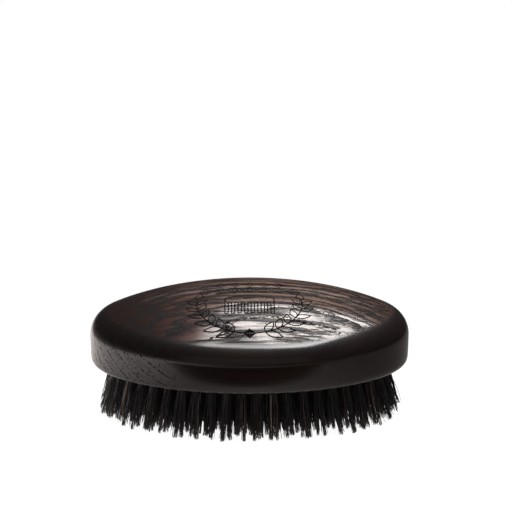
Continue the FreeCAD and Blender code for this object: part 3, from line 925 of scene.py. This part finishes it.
def make_floor():
    """A white round floor under the tips. To the camera it is white, with the faintest shadow under the
    brush. To all else it glows, painted light that lights the brush and shows in its reflections: a pale
    sweep that dims with the distance and to the right, brightens to the left, and has a black oval card on it
    in front of the brush, a painted dark reflection. From below it is clear."""
    turn = 2 * np.pi * np.arange(96) / 96
    rings = [np.stack([r * np.cos(turn), r * np.sin(turn), np.zeros(96)], -1) for r in (0.02, 0.3, 1.2, 6.0)]
    centre = np.zeros((1, 3))
    fan = np.stack([np.arange(96), (np.arange(96) + 1) % 96, np.full(96, 4 * 96)], -1)
    floor = new_mesh("studio_floor", np.concatenate(rings + [centre]), [grid_faces(4, 96)[:, ::-1], fan])
    material = bpy.data.materials.new("studio_floor")
    material.use_nodes = True
    tree = material.node_tree
    tree.nodes.clear()
    path = add(tree, "ShaderNodeLightPath")
    side = add(tree, "ShaderNodeNewGeometry")
    place = object_place(tree)
    split = add(tree, "ShaderNodeSeparateXYZ", {0: place})
    lit = add(tree, "ShaderNodeBsdfDiffuse", {"Color": (0.07, 0.07, 0.07, 1)})
    glow = add(tree, "ShaderNodeEmission", {"Color": (1, 1, 1, 1), "Strength": 0.955})
    near = add(tree, "ShaderNodeAddShader", {0: lit.outputs[0], 1: glow.outputs[0]})
    white = add(tree, "ShaderNodeEmission", {"Color": (1, 1, 1, 1), "Strength": 1.0})
    away = add(tree, "ShaderNodeVectorMath", {0: place}, operation="LENGTH").outputs["Value"]
    fade = ramp(tree, away, 0.07, 0.14)
    seen = add(tree, "ShaderNodeMixShader", {0: fade, 1: near.outputs[0], 2: white.outputs[0]})
    far = ramp(tree, away, 0.14, 0.30, 1.0, 0.10)
    card_x = maths(tree, "DIVIDE", maths(tree, "SUBTRACT", split.outputs[0], CARD_MIDDLE[0]), CARD_HALF[0])
    card_y = maths(tree, "DIVIDE", maths(tree, "SUBTRACT", split.outputs[1], CARD_MIDDLE[1]), CARD_HALF[1])
    card = maths(tree, "MULTIPLY", card_x, card_x)
    card = maths(tree, "ADD", card, maths(tree, "MULTIPLY", card_y, card_y))
    sweep = maths(tree, "MULTIPLY", far, ramp(tree, card, 0.80, 1.20))
    aside = ramp(tree, split.outputs[0], -0.030, -0.135, 1.0, 3.6)
    aside = maths(tree, "MULTIPLY", aside, ramp(tree, split.outputs[0], 0.110, 0.010, 0.40, 1.0))
    sweep = maths(tree, "MULTIPLY", sweep, aside)
    # painted light: the glow that the brush sees in its reflections and is lit by
    pale = add(tree, "ShaderNodeVectorMath", {0: FLOOR_GLOW, "Scale": sweep}, operation="SCALE").outputs[0]
    reflected_glow = add(tree, "ShaderNodeEmission", {"Color": pale, "Strength": 1.0})
    to_camera = path.outputs["Is Camera Ray"]
    shown = add(tree, "ShaderNodeMixShader", {0: to_camera, 1: reflected_glow.outputs[0], 2: seen.outputs[0]})
    clear = add(tree, "ShaderNodeBsdfTransparent")
    below = side.outputs["Backfacing"]
    both = add(tree, "ShaderNodeMixShader", {0: below, 1: shown.outputs[0], 2: clear.outputs[0]})
    output = add(tree, "ShaderNodeOutputMaterial")
    tree.links.new(both.outputs[0], output.inputs[0])
    give(floor, material)
    return floor


def make_world():
    """White behind the object, and dim to everything else, so that the panels shape the reflections."""
    world = bpy.data.worlds.new("studio")
    bpy.context.scene.world = world
    world.use_nodes = True
    tree = world.node_tree
    tree.nodes.clear()
    path = add(tree, "ShaderNodeLightPath")
    seen = add(tree, "ShaderNodeBackground", {"Color": (1, 1, 1, 1), "Strength": 1.0})
    dim = add(tree, "ShaderNodeBackground", {"Color": (0.95, 0.97, 1, 1), "Strength": 0.028})
    to_camera = path.outputs["Is Camera Ray"]
    both = add(tree, "ShaderNodeMixShader", {0: to_camera, 1: dim.outputs[0], 2: seen.outputs[0]})
    output = add(tree, "ShaderNodeOutputWorld")
    tree.links.new(both.outputs[0], output.inputs[0])


TARGET = Vector((0, 0, (FACE + CROWN) / 2))


def panel(name, azimuth, elevation, distance, width, height, power, upright=(0, 0, 1)):
    """A soft rectangular light aimed at the brush. Azimuth 0 is behind it (+Y) and 90 is to its right (+X).
    Its height runs as near as it can along the upright direction."""
    a, e = math.radians(azimuth), math.radians(elevation)
    away = Vector((math.sin(a) * math.cos(e), math.cos(a) * math.cos(e), math.sin(e)))
    across = Vector(upright).cross(away).normalized()
    light = bpy.data.lights.new(name, "AREA")
    light.shape = "RECTANGLE"
    light.size, light.size_y = width, height
    light.energy = power
    lamp = bpy.data.objects.new(name, light)
    lamp.location = TARGET + away * distance
    lamp.rotation_mode = "QUATERNION"
    lamp.rotation_quaternion = Matrix((across, away.cross(across), away)).transposed().to_quaternion()
    lamp.visible_camera = False
    bpy.context.scene.collection.objects.link(lamp)
    return lamp


CAMERA_DISTANCE = 0.495
CAMERA_ELEVATION = math.radians(19.0)
LENS = 100.67
SENSOR = 36.0
LOOK_UP = math.radians(2.635)
LOOK_RIGHT = math.radians(0.26)


def make_camera():
    """A level long-lens camera in front of the brush, turned up and right, so the brush sits low in view."""
    data = bpy.data.cameras.new("camera")
    data.lens, data.sensor_width = LENS, SENSOR
    data.clip_start, data.clip_end = 0.01, 20
    camera = bpy.data.objects.new("camera", data)
    forward = Vector((0, math.cos(CAMERA_ELEVATION), -math.sin(CAMERA_ELEVATION)))
    camera.location = TARGET - forward * CAMERA_DISTANCE
    upward = Vector((0, math.sin(CAMERA_ELEVATION), math.cos(CAMERA_ELEVATION)))
    aim = forward + upward * math.tan(LOOK_UP) + Vector((math.tan(LOOK_RIGHT), 0, 0))
    camera.rotation_mode = "QUATERNION"
    camera.rotation_quaternion = aim.to_track_quat("-Z", "Y")
    bpy.context.scene.collection.objects.link(camera)
    bpy.context.scene.camera = camera


make_floor()
make_world()
panel("softbox_above", 75, 81, 0.9, 0.64, 0.98, 34.0, upright=(0.21, 0.98, 0))
panel("softbox_behind", 2, 30, 1.3, 0.9, 0.40, 0.75)
panel("fill_front", 182, 8, 1.6, 1.7, 0.8, 0.6)
make_camera()
bpy.context.scene.view_settings.view_transform = "Standard"
